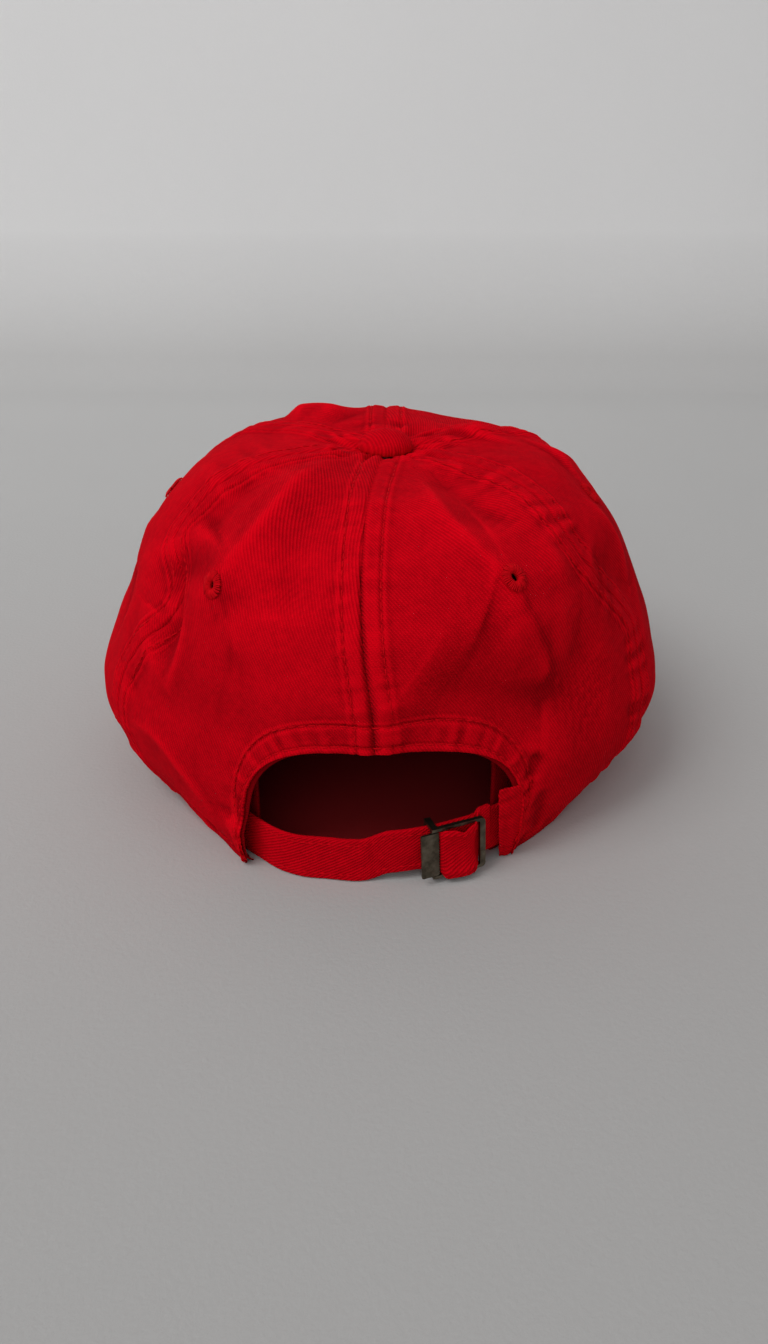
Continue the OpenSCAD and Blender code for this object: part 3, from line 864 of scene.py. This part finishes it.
def strap_shift(phi):
    """The strap's sag and waves, mm across it and mm outwards; none where the buckle can reach."""
    free = 1 - ease(86, 95, phi)
    lean = STRAP_R * np.cos(np.radians(phi)) * math.sin(math.radians(STRAP_TILT))
    low = -(STRAP_Z - STRAP_W / 2 - lean - 0.15) * free
    out = 2.7 * np.exp(-((phi - 67) / 11) ** 2) + 0.8 * np.exp(-((phi - 84) / 6) ** 2) * free
    return low, out


STRAP_FROM, STRAP_TO = 43, 137  # degrees round the strap's arc
STRAP_ROW = 5.4  # from the strap's middle to its stitching, mm


def make_strap():
    phi = np.linspace(STRAP_FROM, STRAP_TO, 300)[:, None]
    across, height = loop_section(STRAP_W, STRAP_T)
    low, out = strap_shift(phi)
    pressed = 1 - 0.16 * np.exp(-((np.abs(across) - STRAP_ROW) / 0.5) ** 2)
    rho = STRAP_R - STRAP_T / 2 + out + height * pressed
    points = at_strap(rho, phi, across + low)
    points += 0.08 * noise3(points, 3.0, 91)[..., None] * unit(points * [1, 1, 0])
    around = np.concatenate([[0], np.cumsum(np.hypot(np.diff(across), np.diff(height)))])
    uv = np.stack(np.broadcast_arrays(around, phi * math.radians(STRAP_R)), -1) * MM
    obj = ribbon_object("adjuster_strap_cloth", points, TWILL, uv)
    place(obj, "adjuster_strap", body="strap", slot="strap_twill")
    rows = []
    p = phi[:, 0]
    low, out = strap_shift(p)
    for side in (-1, 1):
        for face in (-1, 1):
            middle = STRAP_R - STRAP_T / 2 + out
            line = at_strap(middle + face * (STRAP_T / 2 - 0.1), p, side * STRAP_ROW + low)
            normal = face * unit(at_strap(STRAP_R + 1, p, 0) - at_strap(STRAP_R, p, 0))
            rows.append((line, normal))
    stitch_object("strap_stitching", rows, length=2.2, gap=0.5, width=0.42, lift=0.05, body="strap")


make_strap()

# The tab's route by the buckle: along the strap and above it, mm
TAB_ROUTE = [(13.2, 0.33), (10.5, 0.33), (8, 0.36), (4, 0.55), (-1.4, 0.9), (-3.3, 1.7), (-3.8, 3.2),
             (-2.6, 4.55), (0.2, 5.2), (3.6, 5.5), (6.2, 4.7), (7.6, 2.6), (9.2, 1.2),
             (11, 0.97), (13.2, 0.96)]
TAB_HALF, TAB_THICK, TAB_LIFT, TAB_ROW = 7.1, 0.75, 2.8, 5.6
FACE_POINTS = 27  # along one face of the tab's section
EDGE_POINTS = 5  # round each of its edges


def make_tab():
    """A strip doubled round the buckle's bars, its front a puffed loop with its ends laid together."""
    t = np.linspace(0, 1, 280)
    route = curve(TAB_ROUTE, t)
    step = np.gradient(route, axis=0)
    side = unit(np.stack([-step[:, 1], step[:, 0]], -1))
    across, height = loop_section(2 * TAB_HALF, TAB_THICK, FACE_POINTS)
    front = ease(0.3, 0.38, t) * (1 - ease(0.76, 0.84, t))
    crest = (front * ease(-4.2, -2.5, route[:, 0]) * (1 - ease(6.6, 8.6, route[:, 0])))[:, None]
    dip = 1.5 * np.exp(-((route[:, :1] - 2.4) / 1.7) ** 2)
    grow = np.where(across > 0, 1.1 - dip, -2.0)
    w = across[None] + crest * grow * (np.abs(across) / TAB_HALF) ** 1.5
    sewn = 0.45 * np.exp(-((np.abs(across) - TAB_ROW) / 0.45) ** 2)
    puff = -crest * (0.75 * np.cos(across / TAB_HALF * 1.5) - sewn)
    rise_right = TAB_LIFT * ease(7.0, 10.0, route[:, :1])
    u = route[:, :1] + side[:, :1] * (height + puff)
    n = STRAP_R + route[:, 1:] + side[:, 1:] * (height + puff)
    points = at_strap(n, BUCKLE_ANGLE + np.degrees(u / STRAP_R), w + rise_right)
    points += 0.12 * noise3(points, 3.2, 93)[..., None] * unit(points * [1, 1, 0])
    length = np.concatenate([[0], np.cumsum(np.linalg.norm(np.diff(route, axis=0), axis=1))])[:, None]
    around = np.concatenate([[0], np.cumsum(np.hypot(np.diff(across), np.diff(height)))])
    uv = np.stack(np.broadcast_arrays(around, length), -1) * MM
    obj = place(ribbon_object("buckle_tab_cloth", points, TWILL, uv), "buckle_tab", slot="strap_twill")
    rows = []
    seen = slice(110, 250)
    for sewn_at in (-TAB_ROW, TAB_ROW):
        k = int(np.abs(across[:FACE_POINTS] - sewn_at).argmin())
        face, back = points[seen, k], points[seen, 2 * FACE_POINTS + EDGE_POINTS - 1 - k]
        rows.append((face, unit(face - back)))
    stitch_object("tab_stitching", rows, length=1.7, gap=0.4, width=0.34, lift=0.03)


make_tab()


def make_keeper():
    """An upright folded band that the strap's tail slides behind; it leans with the arch's foot."""
    across, height = loop_section(1.0, 0.11, 11)
    top = 0.2
    v = np.linspace(0.004, top, 60)[:, None]
    half = mix(3.7, 2.6, v / top)
    angle = mix(121, 116.6, (v / top) ** 0.8) + across * 2 * half
    points = crown_cloth(angle, v + 0 * angle, 0.95 - height * 7)
    uv = np.stack(np.broadcast_arrays(across * 8, climb(v)), -1) * MM
    obj = ribbon_object("strap_keeper_cloth", points, TWILL, uv)
    place(obj, "strap_keeper", slot="strap_twill")


make_keeper()


# ---------------------------------------------------------------- metal
def metal(name, dark, light, rough):
    m = Nodes(name)
    where = m.add("TexCoord").outputs["Object"]
    worn = m.remap(m.noise(where, 260.0, 4.0, 0.6), 0.4, 0.68, 0.0, 1.0)
    m.set(Base_Color=m.mix(worn, dark, light), Metallic=1.0)
    m.set(Roughness=m.remap(worn, 0, 1, rough + 0.1, rough - 0.06))
    m.set(Normal=m.bump(m.noise(where, 1500.0, 2.0), 0.03 * MM, 0.5))
    return m.mat


BUCKLE = metal("buckle", (0.085, 0.07, 0.05, 1), (0.20, 0.17, 0.125, 1), 0.36)
STEEL = metal("steel", (0.45, 0.45, 0.46, 1), (0.62, 0.62, 0.62, 1), 0.32)


def finish_metal(node, material, round_mm):
    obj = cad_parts[node]
    obj.data.materials.clear()
    obj.data.materials.append(material)
    bevel = obj.modifiers.new("rounded edges", "BEVEL")
    bevel.width = round_mm * MM
    bevel.segments = 3
    bevel.limit_method = "ANGLE"
    bevel.angle_limit = math.radians(40)
    bevel.harden_normals = False


for node in ("buckle_frame", "clamp_plate", "hinge_pin"):
    finish_metal(node, BUCKLE, 0.22 if node == "buckle_frame" else 0.12)
for node in ("button_shell", "button_rivet"):
    finish_metal(node, STEEL, 0.1)


# ---------------------------------------------------------------- camera, floor and light
def make_camera():
    place_mm = Vector((-5.0, 339.0, 200.0))
    yaw, tilt = math.radians(0.5), math.radians(27.2)
    look = Vector((math.sin(yaw) * math.cos(tilt), -math.cos(yaw) * math.cos(tilt), -math.sin(tilt)))
    data = bpy.data.cameras.new("camera")
    data.sensor_width = 36
    data.lens = 28.3
    data.clip_start = 0.01
    camera = bpy.data.objects.new("camera", data)
    camera.location = place_mm * MM
    camera.rotation_euler = look.to_track_quat("-Z", "Y").to_euler()
    bpy.context.scene.collection.objects.link(camera)
    bpy.context.scene.camera = camera


def make_floor():
    """A pale floor that curves up into a wall; painted light makes the floor darker towards the camera and
    lighter towards the back, and the wall lighter still.

    Under the cap its colour is painted dark red: painted shade where the cap keeps the light off, tinted red
    for light thrown back by the lining.
    """
    m = Nodes("floor")
    where = m.add("TexCoord").outputs["Object"]
    xyz = m.add("SeparateXYZ", {"Vector": where})
    grain = m.noise(where, 700.0, 2.0)
    broad = m.noise(where, 3.0, 2.0)
    tone = m.math("ADD", m.math("MULTIPLY", grain, 0.25), m.math("MULTIPLY", broad, 0.75))
    # painted light: the floor is painted darker towards the camera and lighter towards the back, and the
    # wall is painted lighter still
    nearer = m.remap(xyz.outputs[1], -0.5, 0.25, 0.0, 1.0)
    ground = m.mix(nearer, (0.60, 0.60, 0.595, 1), (0.42, 0.42, 0.415, 1))
    tall = m.mix(m.remap(xyz.outputs[2], 0.02, 0.12, 0.0, 1.0), ground, (0.93, 0.935, 0.935, 1))
    colour = m.mix(m.math("MULTIPLY", tone, 0.12), tall, (0.2, 0.2, 0.2, 1))
    # painted shade under the cap: over the cap's footprint the floor's colour turns dark red, for the shade
    # there and the red light the lining throws back
    x, y = m.math("MULTIPLY", xyz.outputs[0], 1000 / 78), m.math("MULTIPLY", xyz.outputs[1], 1000 / 84)
    out = m.math("ADD", m.math("MULTIPLY", x, x), m.math("MULTIPLY", y, y))
    under = m.remap(out, 0.85, 1.0, 1.0, 0.0)
    m.set(Base_Color=m.mix(under, colour, (0.26, 0.012, 0.014, 1)), Roughness=0.9)
    m.set(Specular_IOR_Level=0.1, Normal=m.bump(grain, 0.3 * MM, 0.4))
    turn = np.linspace(0, np.pi / 2, 16)
    y = np.concatenate([[3000], -560 - 110 * np.sin(turn), [-670]])
    z = np.concatenate([[0], 110 - 110 * np.cos(turn), [2500]])
    points = np.stack([np.stack([np.full_like(y, x), y, z], -1) for x in (2500, -2500)], 1)
    floor = mesh_object("floor", points.reshape(-1, 3), grid_faces(len(y), 2), m.mat)


def area_light(name, at, size, power, colour=(1, 1, 1), aim=(0, 0, 0.05)):
    data = bpy.data.lights.new(name, "AREA")
    data.shape = "DISK"
    data.size = size
    data.energy = power
    data.color = colour
    light = bpy.data.objects.new(name, data)
    light.location = at
    light.rotation_euler = (Vector(aim) - Vector(at)).to_track_quat("-Z", "Y").to_euler()
    bpy.context.scene.collection.objects.link(light)


def make_light():
    """A large lamp high on the left, and a dim room that is brighter overhead than at the horizon."""
    area_light("key", (0.85, 0.65, 1.5), 1.0, 12.5)
    area_light("fill", (0.3, 1.6, 1.1), 1.4, 7)
    world = bpy.data.worlds.new("world")
    world.use_nodes = True
    tree = world.node_tree
    sky = tree.nodes["Background"]
    up = tree.nodes.new("ShaderNodeSeparateXYZ")
    bright = tree.nodes.new("ShaderNodeMapRange")
    tree.links.new(tree.nodes.new("ShaderNodeTexCoord").outputs["Generated"], up.inputs[0])
    tree.links.new(up.outputs[2], bright.inputs["Value"])
    bright.inputs["To Min"].default_value, bright.inputs["To Max"].default_value = 0.32, 0.48
    tree.links.new(bright.outputs[0], sky.inputs[1])
    sky.inputs[0].default_value = (0.86, 0.84, 0.84, 1)
    bpy.context.scene.world = world
    bpy.context.scene.view_settings.view_transform = "Standard"


make_camera()
make_floor()
make_light()
